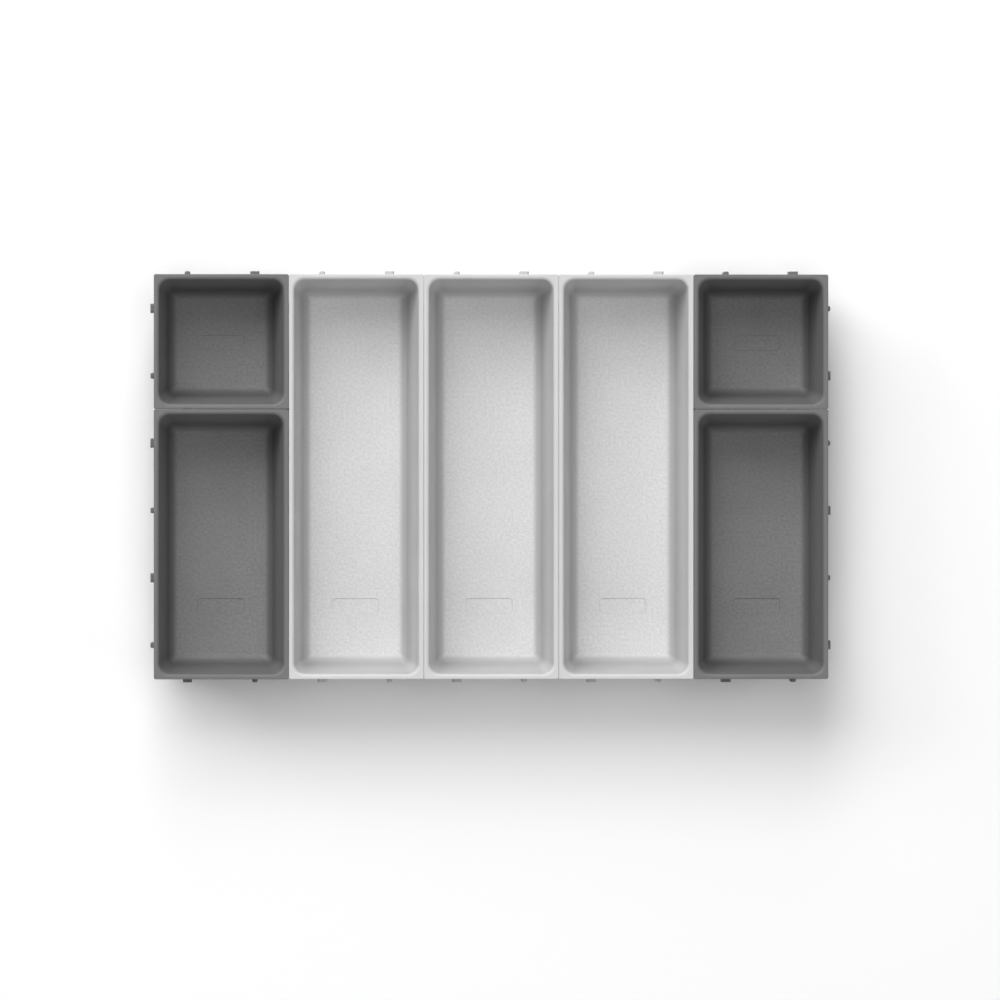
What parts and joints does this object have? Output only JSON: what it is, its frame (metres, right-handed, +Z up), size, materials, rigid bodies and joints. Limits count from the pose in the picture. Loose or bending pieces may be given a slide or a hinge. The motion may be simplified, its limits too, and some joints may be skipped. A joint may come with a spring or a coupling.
{
  "type": "modular drawer organizer insert",
  "caption": "Shallow open-top storage bins on a square grid that clip together side to side and stand in a drawer on rubber feet.",
  "frame": {"origin": "middle of the whole footprint, on the plane that the feet stand on", "axes": "+X along the row of five bins, to the right seen from the front; +Y to the back of the drawer; +Z up, out of the open tops"},
  "size_m": [0.404, 0.244, 0.05],
  "materials": {
    "light_plastic": "satin, fine stipple on the floor",
    "dark_plastic": "satin, fine stipple on the floor",
    "foot_rubber": "matt"
  },
  "bodies": {
    "long_bin_left": {"long_bin_left": "light_plastic", "long_bin_left_foot_front_left": "foot_rubber", "long_bin_left_foot_front_right": "foot_rubber", "long_bin_left_foot_back_left": "foot_rubber", "long_bin_left_foot_back_right": "foot_rubber"},
    "long_bin_center": {"long_bin_center": "light_plastic", "long_bin_center_foot_front_left": "foot_rubber", "long_bin_center_foot_front_right": "foot_rubber", "long_bin_center_foot_back_left": "foot_rubber", "long_bin_center_foot_back_right": "foot_rubber"},
    "long_bin_right": {"long_bin_right": "light_plastic", "long_bin_right_foot_front_left": "foot_rubber", "long_bin_right_foot_front_right": "foot_rubber", "long_bin_right_foot_back_left": "foot_rubber", "long_bin_right_foot_back_right": "foot_rubber"},
    "medium_bin_left": {"medium_bin_left": "dark_plastic", "medium_bin_left_foot_front_left": "foot_rubber", "medium_bin_left_foot_front_right": "foot_rubber", "medium_bin_left_foot_back_left": "foot_rubber", "medium_bin_left_foot_back_right": "foot_rubber"},
    "medium_bin_right": {"medium_bin_right": "dark_plastic", "medium_bin_right_foot_front_left": "foot_rubber", "medium_bin_right_foot_front_right": "foot_rubber", "medium_bin_right_foot_back_left": "foot_rubber", "medium_bin_right_foot_back_right": "foot_rubber"},
    "small_bin_left": {"small_bin_left": "dark_plastic", "small_bin_left_foot_front_left": "foot_rubber", "small_bin_left_foot_front_right": "foot_rubber", "small_bin_left_foot_back_left": "foot_rubber", "small_bin_left_foot_back_right": "foot_rubber"},
    "small_bin_right": {"small_bin_right": "dark_plastic", "small_bin_right_foot_front_left": "foot_rubber", "small_bin_right_foot_front_right": "foot_rubber", "small_bin_right_foot_back_left": "foot_rubber", "small_bin_right_foot_back_right": "foot_rubber"}
  },
  "joints": [
    {"name": "long_left_unclip", "type": "slide", "parent": "long_bin_center", "child": "long_bin_left", "axis": [-1, 0, 0], "range_m": [0, 0.03]},
    {"name": "long_right_unclip", "type": "slide", "parent": "long_bin_center", "child": "long_bin_right", "axis": [1, 0, 0], "range_m": [0, 0.03]},
    {"name": "medium_left_unclip", "type": "slide", "parent": "long_bin_left", "child": "medium_bin_left", "axis": [-1, 0, 0], "range_m": [0, 0.03]},
    {"name": "medium_right_unclip", "type": "slide", "parent": "long_bin_right", "child": "medium_bin_right", "axis": [1, 0, 0], "range_m": [0, 0.03]},
    {"name": "small_left_unclip", "type": "slide", "parent": "long_bin_left", "child": "small_bin_left", "axis": [-1, 0, 0], "range_m": [0, 0.03]},
    {"name": "small_right_unclip", "type": "slide", "parent": "long_bin_right", "child": "small_bin_right", "axis": [1, 0, 0], "range_m": [0, 0.03]}
  ],
  "couplings": [
    {"joint": "small_left_unclip", "follows": "medium_left_unclip", "ratio": 1},
    {"joint": "small_right_unclip", "follows": "medium_right_unclip", "ratio": 1}
  ]
}
